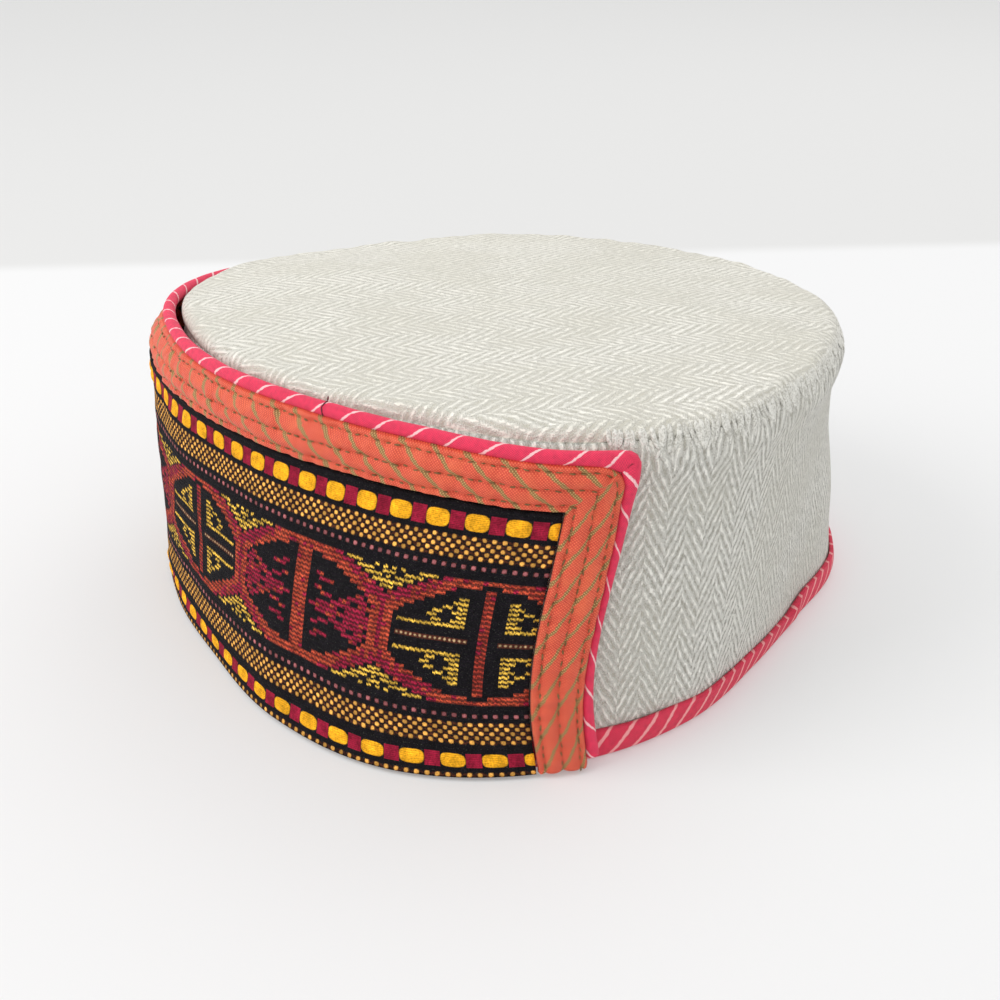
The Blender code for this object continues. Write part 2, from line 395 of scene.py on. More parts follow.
shaded_wall_cloth = woven_cloth("wall_tweed", 0.95, 0.25, herringbone, 0.0006, {
    "Rib": HERRINGBONE_WIDTH / 2,
    "Across": 0.00200,
    "Along": 0.00375,
    "Calm": 0.20,
    "Light": (0.93, 0.917, 0.848, 1.0),
    "Dark": (0.27, 0.257, 0.214, 1.0),
})


def wall_point(across, up):
    """A point of the wall, with the ribs under the seam and small swells in the cloth."""
    bearing = FRONT + 360 * across
    height = WALL_FOOT + (around("seam", bearing) - SEAM_CREASE - WALL_FOOT) * up
    radius = wall_radius(bearing, height)
    below = (1 - up) * around("seam", bearing)
    radius -= SEAM_TUCK * max(0.0, 1 - below / SEAM_TUCK_HEIGHT) ** 2
    spot = at(bearing, radius, height)
    fade = math.exp(-(below / RIB_ZONE) ** 2)
    ribs = math.sin(HERRINGBONE_ROUND * 2 * math.radians(bearing) + ripple(spot, *RIB_SWAY))
    swell = fade * RIB_DEPTH * ribs + ripple(spot, *WALL_SWELL) * (1 - fade)
    swell += ripple(spot, *SEAM_SWELL) * fade
    edge = WALL_EDGE_CALM + (1 - WALL_EDGE_CALM) * min(1.0, below / WALL_EDGE)
    return at(bearing, radius + swell * edge, height)


def wall_weave(across, up):
    """The spot on the flat strip. Under the seam the cloth is drawn together, and the weave runs steeper."""
    length = WALL_CUT * up
    gathered = GATHERED * max(0.0, length - WALL_CUT + GATHER_ZONE)
    return across * WEAVE_ROUND + WEAVE_START, length - gathered


sheet = cloth(WALL_COLUMNS, WALL_ROWS, wall_point, wall_weave)
close_round(sheet)
side_wall = make_piece("tweed_wall", sheet, shaded_wall_cloth, WALL_TWEED)
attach(side_wall, "root")
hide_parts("side_wall")

# The crown
# A round of the same tweed in a paler light, laid flat with its herringbone straight across the head.
# Its edge is rolled down onto the wall and sewn there from inside. Behind the flap's far half it is pressed
# a little down and out.
CROWN_TWEED = 0.0022
SEAM_SINK = 0.0009
SINK_SHARE = 0.03
EDGE_LIP = 0.0005
EDGE_ROLL = 0.0024
CROWN_DOME = 0.0024
CROWN_ROUND = 360
CROWN_RINGS = 64
ROLL_SHARE = 0.18
ROLL_WIDTH = 0.0042
ROLL_LENGTH = 0.0056
EDGE_INSET = 0.0007
CROWN_SWELL = (0.030, 0.0010)
CROWN_EDGE_SWELL = (0.006, 0.0006)
CROWN_EDGE_FADE = 8.0
SWELL_SHARE = 0.12
WEAVE_TURN = 5.0
WALL_STAND = 0.0004
PRESS_BEARING = 232.0
PRESS_SPREAD = 30.0
PRESS_DOWN = 0.0020
PRESS_OUT = 0.0026
PRESS_FADE = 4.0

crown_cloth = woven_cloth("crown_tweed", 0.95, 0.25, herringbone, 0.0005, {
    "Rib": 0.0076,
    "Across": 0.0029,
    "Along": 0.0032,
    "Calm": 0.30,
    "Light": (0.975, 0.953, 0.868, 1.0),
    "Dark": (0.42, 0.402, 0.335, 1.0),
})


def average(column):
    """The mean of one column."""
    return sum(getattr(place, column) for place in SHAPE) / len(SHAPE)


def near(bearing, middle, spread):
    """1 at a middle bearing, and less and less away from it."""
    away = (bearing - middle + 180) % 360 - 180
    return math.exp(-(away / spread) ** 2)


def past_roll(inward):
    """The share of the way from the rolled edge to the crown's middle."""
    return max(0.0, inward - ROLL_SHARE) / (1 - ROLL_SHARE)


def crown_reach(bearing):
    """How far out the crown goes. Where the flap stands off the wall, the crown's edge fills the space."""
    filled = max(0.0, around("stand", bearing) - WALL_STAND)
    return around("crown", bearing) + filled + PRESS_OUT * near(bearing, PRESS_BEARING, PRESS_SPREAD)


def crown_point(across, inward):
    """A point of the crown: up over the rolled edge from the seam, and across to the middle."""
    bearing = FRONT + 360 * across
    turn = min(1.0, inward / ROLL_SHARE) * math.pi / 2
    inset = ROLL_WIDTH * (1 - math.cos(turn)) + EDGE_INSET * math.cos(turn)
    rise = (EDGE_LIP + EDGE_ROLL + GAP - SEAM_CREASE) * math.sin(turn)
    share_in = past_roll(inward)
    radius = (crown_reach(bearing) - inset) * (1 - share_in)
    seam = around("seam", bearing) * (1 - share_in) + average("seam") * share_in
    dome = CROWN_DOME * (1 - (1 - share_in) ** 2)
    sink = SEAM_SINK * max(0.0, 1 - inward / SINK_SHARE)
    spot = at(bearing, radius, seam + SEAM_CREASE + rise + dome - sink)
    fade = min(1.0, inward / SWELL_SHARE)
    near_edge = math.exp(-(share_in * CROWN_EDGE_FADE) ** 2)
    lift = fade * (ripple(spot, *CROWN_SWELL) + near_edge * ripple(spot, *CROWN_EDGE_SWELL))
    press = PRESS_DOWN * near(bearing, PRESS_BEARING, PRESS_SPREAD) * math.exp(-(share_in * PRESS_FADE) ** 2)
    return spot + Vector((0, 0, lift - press * math.sin(turn)))


def crown_weave(across, inward):
    """The spot on the flat round, with the herringbone's columns running from front to back."""
    bearing = FRONT + 360 * across
    turn = math.radians(bearing - WEAVE_TURN)
    flat_edge = ROLL_LENGTH * max(0.0, 1 - inward / ROLL_SHARE)
    length = (around("crown", bearing) - ROLL_WIDTH) * (1 - past_roll(inward)) + flat_edge
    return length * math.cos(turn), length * math.sin(turn)


sheet = cloth(CROWN_ROUND, CROWN_RINGS, crown_point, crown_weave)
close_round(sheet)
crown = make_piece("tweed_crown", sheet, crown_cloth, CROWN_TWEED)
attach(crown, "root")
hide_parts("crown_top")

# The seam's ribs
# Where the crown is sewn on, the turned-in edges of both tweeds are drawn together, and their thick yarn
# stands in short pale ribs across the seam, each over a millimetre wide. They are left out under the flap.
RIB_PITCH = 0.00135
RIB_HALF = 0.00072
RIB_LIFT = 0.00030
RIBS_FROM = 95.0
RIBS_TO = 262.0
RIB_LEAN = 0.8
RIB_CROWN_SHARES = (0.09, 0.07, 0.05, 0.031)
RIB_WALL_SHARES = (0.10, 0.40, 0.70, 1.0)
RIB_TURNS = [math.radians(turn) for turn in (60, 45, 30, 15, 4, 0, 0, 0)]
UP = Vector((0.0, 0.0, 1.0))

rib_wool, tree, shader = new_material("rib_wool", 0.95, 0.25)
place = object_spot(tree)
fuzz = noise_at(tree, place, 2400.0, 3.0)
slub = noise_at(tree, place, 600.0, 2.0)
pale = soft_step(tree, line(tree, fuzz, 0.6, times(tree, slub, 0.4)), 0.36, 0.60)
body = blend(tree, pale, (0.52, 0.507, 0.45, 1.0), (0.87, 0.858, 0.80, 1.0))
dress(tree, shader, body, fuzz, 0.0005)

chance = random.Random(11)
ribs = bmesh.new()
rib_count = round(2 * math.pi * average("crown") / RIB_PITCH)
for k in range(rib_count):
    start = (k + chance.uniform(-0.3, 0.3)) / rib_count
    if not RIBS_FROM < start * 360 < RIBS_TO:
        continue
    lean = chance.uniform(-0.9, 0.9) + RIB_LEAN * (1 if int(start * HERRINGBONE_ROUND * 2) % 2 else -1)
    drop = chance.uniform(0.030, 0.062)
    path = [crown_point(start, inward) for inward in RIB_CROWN_SHARES]
    path += [wall_point(start + lean * part / 360, 1 - drop * part) for part in RIB_WALL_SHARES]
    bearing = math.radians(FRONT + 360 * start)
    level = Vector((math.cos(bearing), math.sin(bearing), 0.0))
    outs = [level * math.cos(turn) + UP * math.sin(turn) for turn in RIB_TURNS]
    side = Vector((-math.sin(bearing), math.cos(bearing), 0.0))
    half = RIB_HALF * chance.uniform(0.75, 1.2)
    lift = RIB_LIFT * chance.uniform(0.6, 1.2)
    for corner in bmesh.ops.create_icosphere(ribs, subdivisions=2, radius=1.0)["verts"]:
        way = (corner.co.x + 1) / 2 * (len(path) - 1)
        step = min(int(way), len(path) - 2)
        part = way - step
        spot = path[step].lerp(path[step + 1], part)
        out = outs[step].lerp(outs[step + 1], part).normalized()
        corner.co = spot + side * half * corner.co.y + out * lift * corner.co.z
seam_ribs = make_piece("seam_ribs", ribs, rib_wool)
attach(seam_ribs, "root")

# The hem binding
# A bias strip of crimson cotton with thin pale stripes, folded round the foot of the wall and sewn through.
# It narrows towards the back, and has one small twist where its ends were joined.
BINDING_HEIGHT = 0.0070
FOLD_ROUND = 0.0008
PLEAT_BEARING = 57.0
PLEAT_SPREAD = 3.0
PLEAT_OUT = 0.0008
BINDING_PUFF = 0.0004
BINDING_SWELL = (0.012, 0.0004)
BINDING_CALM = 0.002
FOLD_STEPS = 5
SIDE_STEPS = 6
OUTSIDE_STEPS = 12

Strip = namedtuple("Strip", "bearing width")
STRIP_WIDTHS = [Strip(*row) for row in (
    (0, 1.05), (12, 1.00), (25, 0.84), (40, 0.74), (54, 0.64), (63, 0.92),
    (80, 0.86), (120, 0.86), (180, 0.95), (300, 1.00), (360, 1.05),
)]


def beat(tree, value, length):
    """How far a value is from the nearest whole length, as a share of the length, from 0 to a half."""
    return sums(tree, "PINGPONG", sums(tree, "DIVIDE", value, length), 0.5)


def crossed(tree, spot, length):
    """The beats of two sets of threads that cross on the slant."""
    return [beat(tree, sums(tree, way, spot["X"], spot["Y"]), length) for way in ("ADD", "SUBTRACT")]


striped_cotton, given, result = weave_group(
    "striped_cotton", ("Spacing", "Lean", "Width"), ("Ground", "Stripe"))
tree = striped_cotton
grain = noise_at(tree, given["Place"], 900.0, 3.0)
drift = noise_at(tree, given["Place"], 90.0, 1.0)
weave = axes_of(tree, given["Weave"])
slanted = unevenly(tree, line(tree, weave["Y"], given["Lean"], weave["X"]), drift, 0.0022)
off_line = times(tree, beat(tree, slanted, given["Spacing"]), given["Spacing"])
frayed = unevenly(tree, off_line, grain, 0.0010)
half = times(tree, given["Width"], 0.5)
stripe = soft_step(tree, frayed, times(tree, half, 1.3), times(tree, half, 0.7))
ticked = line(tree, soft_step(tree, beat(tree, weave["Y"], 0.00045), 0.05, 0.30), 0.20, 0.75)
threads = unevenly(tree, sums(tree, "ADD", *crossed(tree, weave, 0.00055)), grain, 0.8)
ground = blend(tree, line(tree, threads, 0.60, 0.45), (0.0, 0.0, 0.0, 1.0), given["Ground"])
ground = blend(tree, times(tree, grain, 0.25), ground, given["Ground"])
body = blend(tree, times(tree, stripe, ticked), ground, given["Stripe"])
fill(tree, result, {"Color": body, "Height": line(tree, stripe, 0.35, times(tree, threads, 0.65))})

binding_cloth = woven_cloth("crimson_binding", 0.8, 0.05, striped_cotton, 0.00018, {
    "Spacing": 0.0058,
    "Lean": 0.85,
    "Width": 0.0011,
    "Ground": (0.88, 0.034, 0.095, 1.0),
    "Stripe": (0.95, 0.40, 0.40, 1.0),
})

inner_depth = 2 * BINDING + 2 * GAP + WALL_TWEED
up_side = [BINDING_HEIGHT * k / SIDE_STEPS for k in range(1, SIDE_STEPS + 1)]
outside = [(0.0, BINDING_HEIGHT * (1 - k / OUTSIDE_STEPS)) for k in range(OUTSIDE_STEPS - 1)]
under_edge = []
for k in range(FOLD_STEPS + 1):
    turn = k / FOLD_STEPS * math.pi / 2
    under_edge.append((FOLD_ROUND * (1 - math.cos(turn)), FOLD_ROUND * (1 - math.sin(turn))))
back_edge = [(inner_depth - depth, height) for depth, height in reversed(under_edge)]
inside = [(inner_depth, height) for height in up_side]
back_in = [(inner_depth - BINDING, height) for height in reversed(up_side)]
front_in = [(BINDING, height) for height in up_side]
section = outside + under_edge + back_edge + inside + back_in + front_in + outside[:1]
lengths = [0.0]
for (depth, height), (next_depth, next_height) in zip(section, section[1:]):
    lengths.append(lengths[-1] + math.hypot(next_depth - depth, next_height - height))
section_last = len(section) - 1
round_section = lengths[section_last]
for k in range(section_last - SIDE_STEPS, section_last + 1):
    lengths[k] -= round_section


def strip_width(bearing):
    """The binding's height at a bearing, as a share of its full height."""
    bearing %= 360
    after = next(k for k, strip in enumerate(STRIP_WIDTHS) if strip.bearing > bearing)
    low, high = STRIP_WIDTHS[after - 1], STRIP_WIDTHS[after]
    part = (bearing - low.bearing) / (high.bearing - low.bearing)
    return low.width + (high.width - low.width) * part * part * (3 - 2 * part)


def binding_point(across, share):
    """A point of the binding. share runs round its section, from the outer top edge down and under."""
    bearing = FRONT + 360 * across
    depth, height = section[section_last - round(share * section_last)]
    height = height * strip_width(bearing)
    radius = wall_radius(bearing, height) + GAP + BINDING - depth
    calm = min(1.0, height / BINDING_CALM)
    swell = ripple(at(bearing, radius, height), *BINDING_SWELL) * calm
    if depth < BINDING / 2:
        swell += BINDING_PUFF * math.sin(math.pi * min(1.0, height / BINDING_HEIGHT))
        swell += PLEAT_OUT * near(bearing, PLEAT_BEARING, PLEAT_SPREAD) * calm
    return at(bearing, radius + swell, height)


def binding_weave(across, share):
    """The spot on the flat strip, along the hem and round its section."""
    return across * WEAVE_ROUND, lengths[section_last - round(share * section_last)]


sheet = cloth(WALL_COLUMNS, section_last, binding_point, binding_weave)
close_round(sheet)
bmesh.ops.recalc_face_normals(sheet, faces=sheet.faces)
binding = make_piece("hem_strip", sheet, binding_cloth)
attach(binding, "root")
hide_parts("hem_binding")

# The woven band
# A strip of hand-woven wool, wrapped thread by thread in rows just over a millimetre high. Its rows of
# blocks, gold dots and stepped rings are charted here as a weaver would, one letter for each stitch.
FLAP_REACH_FOOT = 95.0
FLAP_REACH_TOP = 99.6
FLAP_END_BOW = 2.4
FLAP_FOOT = 0.0009
FLAP_CLEAR = 0.0004
FLAP_CLOTH = 0.0025
FLAP_BOW_HEIGHT = 0.34
PIPING = 0.0036
BORDER_TOP = 0.0108
BORDER_END = 0.0095
BULGE_HEIGHT = 0.68
STITCH = 0.0011
RING_MIDDLE = 0.1367
FLAP_HALF = 0.1624
LIP_BEARING = 258.0
LIP_SPREAD = 16.0
LIP_OUT = 0.0026
LIP_FROM = 0.80
FOOT_BEARING = 330.0
FOOT_SPREAD = 26.0
FOOT_OUT = 0.0016
FOOT_TO = 0.16
BLOCK_RISE = 0.0006
BAND_SWELL = (0.022, 0.0009)
BAND_DENTS = (0.006, 0.0003)
BAND_SINK = 0.0003
BAND_EDGE_UP = 12
BAND_EDGE_ALONG = 30
FLAP_LAYER = 0.0019
BLOCK_PITCH = 8
BLOCK_WIDE = 5
RING_PITCH = 86
RING_HALF = 22
RING_ROWS = 27

THREADS = {
    "k": (0.008, 0.006, 0.009),
    "d": (0.060, 0.018, 0.010),
    "r": (0.370, 0.016, 0.050),
    "m": (0.390, 0.045, 0.028),
    "t": (0.560, 0.080, 0.038),
    "y": (0.860, 0.520, 0.070),
    "Y": (0.980, 0.455, 0.016),
    "R": (0.300, 0.010, 0.036),
    "G": (0.780, 0.390, 0.080),
    "g": (0.560, 0.370, 0.200),
    "p": (0.380, 0.120, 0.130),
}
# Half of each ring's upper half, from its middle outwards to where the rings meet
BRIGHT_RING = (
    "ttttttttrrkyyyykkkykyk",
    "kkttttttttrrrkyyyykkyy",
    "mkkkkkkttttrrrrkyyyyky",
    "mkkkkkkkkttttrrrrkyyyy",
    "mkkkyykkkkktttrrrrrkyy",
    "mkkkyyykkkkkktttrrrrrk",
    "mkkkyykyykkkkkktttrrrr",
    "mkkkyyykkyykkkkkktttrr",
    "mkkkyykkkkyykkkkkktttr",
    "mkkkyyykkyykkkkkkkkttr",
    "mkkkyyyyyyyyyyyyyykttr",
    "mkkkkkkkkkkkkkkkkkkttr",
    "mkkkkkkkkkkkkkkkkkkttr",
    "mkkgggggggggggggggkttr",
)
DARK_RING = (
    "ttttttttrrkyyyykkkykyk",
    "ttttttttttrrrkyyyykkyy",
    "ttkkktttttttrrrkyyyyky",
    "ttkkkkkkkttttrrrrkyyyy",
    "ttkkkkkkkkktttrrrrrkyy",
    "ttkkkkkkkkkkktttrrrrrk",
    "ttkkrrkkkkkkkkktttrrrr",
    "ttkkkrrrrkkkkkkkktttrr",
    "ttkkkkkkkkkkkkkrrktttr",
    "ttkkrrkkkkkkkrrrrrkttr",
    "ttkkkkrrrkkrrrkkrrrttr",
    "ttkkkkkkkrrrrrrrrrkttr",
    "ttkkkrrrrrrkkrrrrrrttr",
    "ttkrrrrrrrrrrrrrrrrttr",
)
# The rows of the band from the top down: k is black, b blocks, c a checker, d dots and o the rings
ROWS = "kkbbbbkccccckdkk" + "o" * RING_ROWS + "kkdkccccckkbbbkc"


def stitch_letter(column, row):
    """The letter of the stitch at a column, counted from a ring's middle, and a row, counted from the top."""
    kind = ROWS[min(row, len(ROWS) - 1)]
    if kind == "k":
        return "k"
    if kind == "b":
        return "Y" if column % BLOCK_PITCH < BLOCK_WIDE else "R"
    if kind == "c":
        return "G" if (column + row) % 2 else "d"
    if kind == "d":
        return "p" if column % 2 else "k"
    ring_row = row - ROWS.index("o")
    chart_row = min(ring_row, RING_ROWS - 1 - ring_row)
    step = column % RING_PITCH
    step = min(step, RING_PITCH - 1 - step)
    if step < RING_HALF:
        return BRIGHT_RING[chart_row][step]
    return DARK_RING[chart_row][max(0, RING_PITCH // 2 - 1 - step)]


def in_block(column, row):
    """Where a spot lies in its gold block, from -1 to 1 across and up, or nothing off the blocks."""
    kind_row = min(int(row), len(ROWS) - 1)
    if ROWS[kind_row] != "b" or column % BLOCK_PITCH > BLOCK_WIDE:
        return None
    top = kind_row
    while ROWS[top - 1] == "b":
        top -= 1
    foot = kind_row + 1
    while ROWS[foot] == "b":
        foot += 1
    return 2 * (column % BLOCK_PITCH) / BLOCK_WIDE - 1, 1 - 2 * (row - top) / (foot - top)


def hump(up, peak):
    """A rise and fall from 0 to 1 and back, highest at peak."""
    return math.sin(math.pi * up ** (math.log(0.5) / math.log(peak)))


def flap_reach(up):
    """How far round from the front the flap goes, in degrees."""
    straight = FLAP_REACH_FOOT + (FLAP_REACH_TOP - FLAP_REACH_FOOT) * up
    return straight - FLAP_END_BOW * hump(up, FLAP_BOW_HEIGHT) ** 2


def flap_height(bearing):
    """The height of the flap's top edge."""
    return around("seam", bearing) - around("drop", bearing)


def flap_point(along, up, depth):
    """A point of the flap: along runs -1 to 1 from end to end, up 0 to 1, depth in from its outer face."""
    bearing = FRONT + along * flap_reach(up)
    height = FLAP_FOOT + (flap_height(bearing) - FLAP_FOOT) * up
    off_wall = (BINDING + 2 * GAP) * (1 - up) + (around("stand", bearing) + GAP) * up
    swell = around("bulge", bearing) * hump(up, BULGE_HEIGHT)
    inner = wall_radius(bearing, height) + off_wall + swell + FLAP_CLEAR
    return at(bearing, inner + FLAP_CLOTH - depth, height)


def share_along(length):
    """A length along the flap as a share of half its spread."""
    return length / (average("crown") * math.radians(FLAP_REACH_TOP))


def share_up(length):
    """A length up the flap as a share of its height at the front."""
    return length / flap_height(FRONT)


border_side = 1 - share_along(BORDER_END + PIPING)
border_head = 1 - share_up(BORDER_TOP + PIPING)
band_side = border_side - share_along(GAP)
band_head = border_head - share_up(GAP)
band_columns = round(2 * band_side * FLAP_HALF / STITCH)
band_rows = len(ROWS)
first_column = round((-band_side * FLAP_HALF - RING_MIDDLE) / STITCH)


def band_point(across, up):
    """A point of the band's face, with soft dents in the wool."""
    along = band_side * (2 * across - 1)
    rise = band_head * up
    spot = flap_point(along, rise, 0.0)
    edge = min(1.0, BAND_EDGE_UP * min(up, 1 - up), BAND_EDGE_ALONG * min(across, 1 - across))
    swell = ripple(spot, *BAND_SWELL) + ripple(spot, *BAND_DENTS)
    bearing = FRONT + along * flap_reach(rise)
    lip = LIP_OUT * near(bearing, LIP_BEARING, LIP_SPREAD) * max(0.0, (up - LIP_FROM) / (1 - LIP_FROM)) ** 1.5
    flare = FOOT_OUT * near(bearing, FOOT_BEARING, FOOT_SPREAD) * max(0.0, 1 - up / FOOT_TO) ** 1.3
    inside = in_block(first_column + across * band_columns, (1 - up) * band_rows)
    if inside:
        swell += BLOCK_RISE * (1 - inside[0] ** 2) * (1 - inside[1] ** 2)
    return flap_point(along, rise, BAND_SINK - swell * edge - lip - flare)


def band_weave(across, up):
    """The spot in stitches along and up."""
    return across * band_columns, up * band_rows


sheet = cloth(band_columns, band_rows, band_point, band_weave)
flat = sheet.loops.layers.uv.active
block_spot = sheet.loops.layers.uv.new("block")
yarn_layer = sheet.loops.layers.float_color.new("yarn")
chance = random.Random(3)
SWAPS = {"t": "tttttttmmr", "m": "mmmmmmmtr", "r": "rrrrrrrtm"}
KINDS = {"G": 1.0, "p": 1.0, "g": 0.80, "Y": 0.5, "R": 0.5, "t": 0.2, "m": 0.2, "r": 0.2}
for face in sheet.faces:
    column = math.floor(min(loop[flat].uv.x for loop in face.loops) + 0.5)
    row = band_rows - 1 - math.floor(min(loop[flat].uv.y for loop in face.loops) + 0.5)
    letter = stitch_letter(first_column + column, row)
    letter = chance.choice(SWAPS.get(letter, letter))
    kind = KINDS.get(letter, 0.0)
    dye = chance.uniform(0.60, 1.25) if kind in (0.0, 0.8, 1.0) else chance.uniform(0.88, 1.12)
    for loop in face.loops:
        loop[yarn_layer] = (*(dye * part for part in THREADS[letter]), kind)
        loop[block_spot].uv = (0.0, 0.0)
        if letter == "Y":
            across_block = (first_column + column) % BLOCK_PITCH + loop[flat].uv.x - column
            down = max(row + 0.001, min(band_rows - loop[flat].uv.y, row + 0.999))
            loop[block_spot].uv = in_block(max(0.001, min(BLOCK_WIDE - 0.001, across_block)), down)

band_cloth, tree, shader = new_material("woven_wool", 0.9)
place = object_spot(tree)
yarn = shader_node(tree, "Attribute", attribute_name="yarn").outputs
fuzz = noise_at(tree, place, 2400.0, 3.0)
shade = noise_at(tree, place, 420.0, 2.0)
cell = axes_of(tree, cloth_spot(tree))
lean = sums(tree, "FRACT", times(tree, cell["X"], 0.85))
sagged = unevenly(tree, unevenly(tree, cell["Y"], lean, 0.34), shade, 0.6)
across_thread = times(tree, sums(tree, "PINGPONG", sagged, 0.5), 2.0)
# The wide soft ramp darkens each wrapped row towards its edges: partly the black ground between rows, partly
# painted shade on the threads' rounded edges.
thread = soft_step(tree, unevenly(tree, across_thread, fuzz, 1.3), 0.08, 0.85)
block = axes_of(tree, cloth_spot(tree, "block"))
sides = [sums(tree, "POWER", sums(tree, "ABSOLUTE", block[way]), 3.2) for way in ("X", "Y")]
pill = soft_step(tree, unevenly(tree, sums(tree, "ADD", *sides), fuzz, 0.5), 1.05, 0.72)
fine = sums(tree, "PINGPONG", unevenly(tree, times(tree, cell["Y"], 2.6), shade, 0.5), 0.5)
wrapped = times(tree, pill, line(tree, soft_step(tree, fine, 0.0, 0.22), 0.26, 0.74))
bead_x, bead_y = (sums(tree, "SUBTRACT", sums(tree, "FRACT", cell[way]), 0.5) for way in ("X", "Y"))
bead_x = unevenly(tree, bead_x, shade, 0.7)
bead_square = line(tree, bead_x, bead_x, times(tree, bead_y, bead_y))
bead_far = sums(tree, "ADD", sums(tree, "SQRT", bead_square), sums(tree, "SUBTRACT", 1.0, yarn["Alpha"]))
bead = soft_step(tree, unevenly(tree, bead_far, fuzz, 0.5), 0.62, 0.34)
is_bead = soft_step(tree, yarn["Alpha"], 0.70, 0.75)
is_wrap = soft_step(tree, yarn["Alpha"], 0.30, 0.40)
is_dense = soft_step(tree, yarn["Alpha"], 0.10, 0.18)
thread = sums(tree, "MAXIMUM", thread, times(tree, is_dense, 0.26))
# This mask carries the yarn, with the threads' painted shade, into the colour and the relief.
yarn_and_shade_mask = between(tree, is_bead, between(tree, is_wrap, thread, wrapped), bead)
hairs = noise_at(tree, place, 3300.0, 2.0)
hairy = times(tree, soft_step(tree, hairs, 0.56, 0.70), 0.55)
ground = blend(tree, hairy, (0.006, 0.005, 0.007, 1.0), (0.085, 0.092, 0.075, 1.0))
ground = blend(tree, is_bead, ground, (0.070, 0.016, 0.010, 1.0))
body = blend(tree, yarn_and_shade_mask, ground, yarn["Color"])
stray = times(tree, hairy, line(tree, is_wrap, -0.4, 0.5))
body = blend(tree, stray, body, (0.020, 0.014, 0.012, 1.0))
worn = line(tree, times(tree, fuzz, shade), 3.0, 0.32)
grey = shader_node(tree, "CombineColor", {0: worn, 1: worn, 2: worn}).outputs[0]
shader.inputs["Specular IOR Level"].default_value = 0.15
lift = line(tree, fuzz, 0.4, times(tree, yarn_and_shade_mask, 0.6))
dress(tree, shader, blend(tree, 1.0, body, grey, "MULTIPLY"), lift, 0.0006)

band = make_piece("wool_band", sheet, band_cloth, FLAP_LAYER)
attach(band, "root")
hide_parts("woven_band")

# The taffeta border
# A strip of coral-orange shot taffeta with thin olive stripes, folded over padding and sewn flat round
# the band's top and ends. Three rows of stitches leave it puffed and puckered between them.
FLAP_TALL = 0.078
BORDER_PUFF = 0.0010
STITCH_ROWS = (0.15, 0.50, 0.85)
TOP_STEPS = 20
END_STEPS = 20
LONG_STEPS = 600
TALL_STEPS = 120
BORDER_CORNER = 0.0058
FOOT_LIFT = 0.0004
FOOT_FADE = 0.012
PUCKER = 0.0023
PUCKER_DEPTH = 0.0008
STITCH_DENT = 0.16
BORDER_DENTS = (0.006, 0.0003)
BORDER_SWELL = (0.018, 0.0004)
INNER_FOLD = 0.0010
INNER_FOLD_SHARE = 0.06
OUTER_FOLD = 0.0013
OUTER_FOLD_SHARE = 0.08
PUFF_FULL = 0.35
END_CUT = (1.93, -0.80)
STRIPE_PITCH = 0.0076
TWILL_PITCH = 0.00066
PIPING_NARROW = 0.0014
UNDER_PIPING = 0.0010
border_top = 1 - share_up(PIPING + GAP - UNDER_PIPING)


def piping_width(up):
    """The piping's width along the flap's ends, where it is partly turned under the border."""
    return PIPING - GAP - PIPING_NARROW * math.sin(math.pi * max(0.0, min(1.0, up))) ** 1.3


def border_end(up):
    """Where the border's outer edge runs at the flap's ends, as a share along the flap."""
    return 1 - share_along(piping_width(up) + 2 * GAP - UNDER_PIPING)


taffeta, tree, shader = new_material("orange_taffeta", 0.6, 0.08)
place = object_spot(tree)
grain = noise_at(tree, place, 1500.0, 2.0)
cloud = noise_at(tree, place, 160.0, 3.0)
cell = axes_of(tree, cloth_spot(tree))
slanted = unevenly(tree, line(tree, cell["Y"], 1.15, cell["X"]), cloud, 0.0022)
off_line = times(tree, beat(tree, slanted, STRIPE_PITCH), STRIPE_PITCH)
stripe = soft_step(tree, unevenly(tree, off_line, grain, 0.0012), 0.00095, 0.00045)
twill = times(tree, *crossed(tree, axes_of(tree, cloth_spot(tree, "threads")), TWILL_PITCH))
twill = soft_step(tree, times(tree, twill, 4.0), 0.05, 0.70)
dots = line(tree, twill, 0.75, times(tree, sums(tree, "SUBTRACT", grain, 0.25), 0.5))
coral = blend(tree, dots, (0.58, 0.036, 0.016, 1.0), (1.0, 0.215, 0.095, 1.0))
coral = blend(tree, times(tree, soft_step(tree, cloud, 0.45, 0.75), 0.35), coral, (0.90, 0.20, 0.07, 1.0))
olive = blend(tree, twill, (0.18, 0.13, 0.03, 1.0), (0.60, 0.50, 0.18, 1.0))
coral = blend(tree, times(tree, stripe, 0.85), coral, olive)
dress(tree, shader, coral, line(tree, grain, 0.5, times(tree, twill, 0.5)), 0.00022)


def puff(share):
    """How far the border swells between its rows of stitches, from 0 to 1, share being the way across it."""
    lines = (-0.03, *STITCH_ROWS, 1.06)
    for low, high in zip(lines, lines[1:]):
        if share <= high:
            width = high - low
            return (width / PUFF_FULL) ** 0.5 * max(0.0, math.sin(math.pi * (share - low) / width)) ** 0.7
    return 0.0


def border_swell(along, up):
    """How far the border's face stands out at a spot of the flap, in metres."""
    from_top = (border_top - up) / (border_top - border_head)
    from_end = (border_end(up) - abs(along)) / (border_end(up) - border_side)
    share = max(0.0, min(1.0, from_top, from_end))
    lengthwise = along * FLAP_HALF if from_top < from_end else up * FLAP_TALL
    near_row = math.exp(-(min(abs(share - row) for row in STITCH_ROWS) / STITCH_DENT) ** 2)
    pucker = PUCKER_DEPTH * near_row * noise.noise(Vector((lengthwise / PUCKER, 2.5 * share, 7.0 + from_top)))
    spot = flap_point(along, up, 0.0)
    swell = BORDER_PUFF * puff(share) + pucker + ripple(spot, *BORDER_DENTS) + ripple(spot, *BORDER_SWELL)
    inner_fold = INNER_FOLD * max(0.0, 1 - (1 - share) / INNER_FOLD_SHARE) ** 2
    return swell - inner_fold - OUTER_FOLD * max(0.0, 1 - share / OUTER_FOLD_SHARE) ** 1.5


